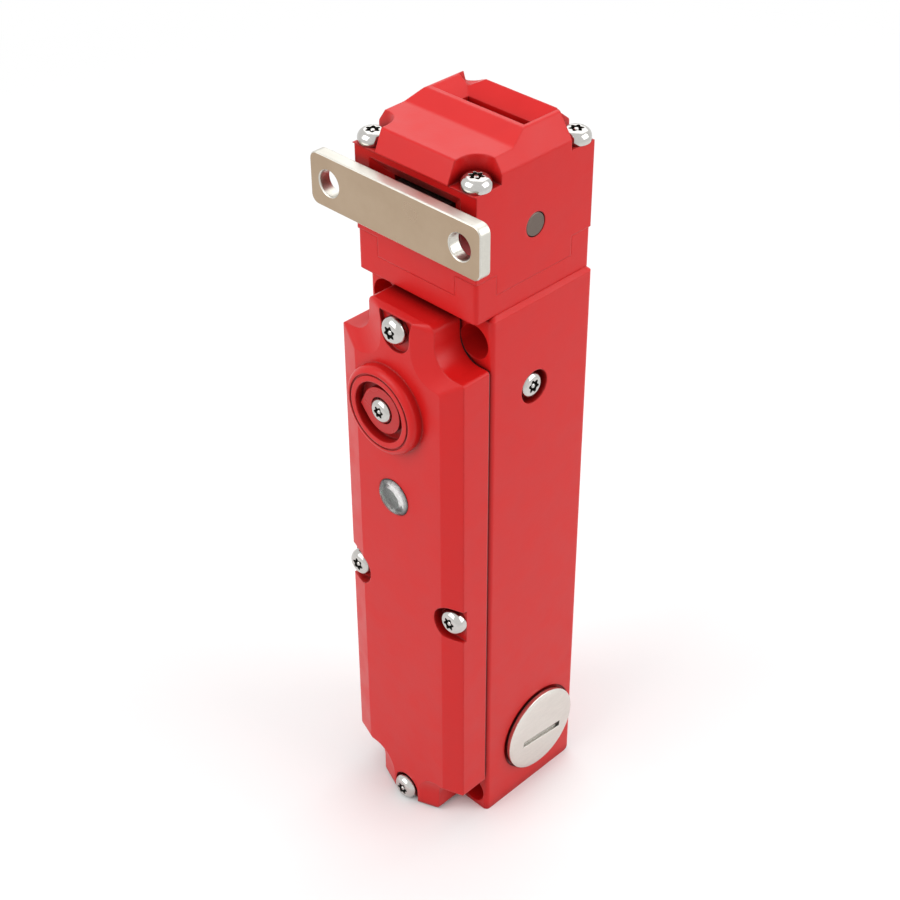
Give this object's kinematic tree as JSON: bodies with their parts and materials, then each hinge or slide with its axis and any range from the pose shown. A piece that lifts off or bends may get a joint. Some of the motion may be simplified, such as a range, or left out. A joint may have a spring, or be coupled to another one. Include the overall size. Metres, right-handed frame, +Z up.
{
  "type": "tongue interlock switch",
  "caption": "Guard-locking tongue interlock switch: red die-cast body and cover, square turret head, steel actuator bar in its front slot.",
  "frame": {"origin": "centre of the bottom cable entry mouth, on the base", "axes": "+Z up along the casing, +Y to the mounting face at the back, +X to the right seen from the cover"},
  "size_m": [0.052, 0.0474, 0.1944],
  "materials": {
    "red_paint": "satin",
    "black_rubber": "matte",
    "bright_steel": "polished",
    "spring_steel": "satin",
    "ground_steel": "ground",
    "hard_steel": "satin",
    "stainless_steel": "brushed",
    "bronze": "machined",
    "zinc_plate": "satin",
    "white_nylon": "matte",
    "coil_tape": "satin",
    "red_knob": "satin",
    "clear_lens": "clear",
    "circuit_board": "satin",
    "black_moulding": "matte",
    "cream_moulding": "matte",
    "brass": "satin",
    "nickel_brass": "satin"
  },
  "bodies": {
    "casing": {"body_casing": "red_paint", "front_cover": "red_paint", "head_housing": "red_paint", "head_base": "red_paint", "cover_gasket": "black_rubber", "plug_seal_left": "black_rubber", "plug_seal_right": "black_rubber", "cover_screws": "bright_steel", "head_screws": "bright_steel", "access_screw_left": "bright_steel", "access_screw_right": "bright_steel", "neck_ring": "spring_steel", "plunger_spring": "spring_steel", "armature_spring": "spring_steel", "cam_axle": "ground_steel", "lever_pin": "ground_steel", "plunger_bush": "bronze", "chassis": "zinc_plate", "chassis_screws": "zinc_plate", "solenoid_yoke": "zinc_plate", "block_screws": "zinc_plate", "stop_plug": "ground_steel", "coil_bobbin": "white_nylon", "solenoid_coil": "coil_tape", "indicator_lens": "clear_lens", "indicator_board": "circuit_board", "contact_block": "black_moulding", "fixed_contacts": "brass", "terminal_screws": "brass", "earth_screw": "brass", "conduit_plug_left": "nickel_brass", "conduit_plug_right": "nickel_brass"},
    "actuator": {"actuator_bar": "stainless_steel", "actuator_tongue": "stainless_steel", "actuator_welds": "stainless_steel"},
    "cam": {"drive_cam": "hard_steel"},
    "plunger": {"plunger_rod": "ground_steel", "lock_collar": "ground_steel", "contact_carrier": "cream_moulding", "contact_bridge": "brass"},
    "lever": {"lock_lever": "hard_steel"},
    "armature_body": {"armature": "ground_steel"},
    "release": {"release_cam": "red_knob", "release_screw": "bright_steel", "release_clip": "spring_steel"}
  },
  "joints": [
    {"name": "tongue_slide", "type": "slide", "parent": "casing", "child": "actuator", "axis": [0, -1, 0], "range_m": [0, 0.025]},
    {"name": "cam_turn", "type": "hinge", "parent": "casing", "child": "cam", "pos_m": [0, -0.0049, 0.1727], "axis": [1, 0, 0], "range_deg": [0, 80]},
    {"name": "plunger_slide", "type": "slide", "parent": "casing", "child": "plunger", "axis": [0, 0, -1], "range_m": [0, 0.004], "stiffness_N_per_m": 100, "springref_m": -0.004, "deforming": ["plunger_spring"]},
    {"name": "armature_slide", "type": "slide", "parent": "casing", "child": "armature_body", "axis": [0, 0, -1], "range_m": [0, 0.00146], "stiffness_N_per_m": 300, "springref_m": -0.002, "deforming": ["armature_spring"]},
    {"name": "lever_turn", "type": "hinge", "parent": "casing", "child": "lever", "pos_m": [0, -0.0116, 0.129], "axis": [1, 0, 0], "range_deg": [0, 14]},
    {"name": "release_turn", "type": "hinge", "parent": "casing", "child": "release", "pos_m": [-0.003, -0.0309, 0.1267], "axis": [0, -1, 0], "range_deg": [0, 90]}
  ],
  "couplings": [
    {"joint": "cam_turn", "follows": "tongue_slide", "rad_per_m": 55.85},
    {"joint": "plunger_slide", "follows": "tongue_slide", "ratio": 0.1599},
    {"joint": "lever_turn", "follows": "armature_slide", "rad_per_m": 167.05}
  ]
}
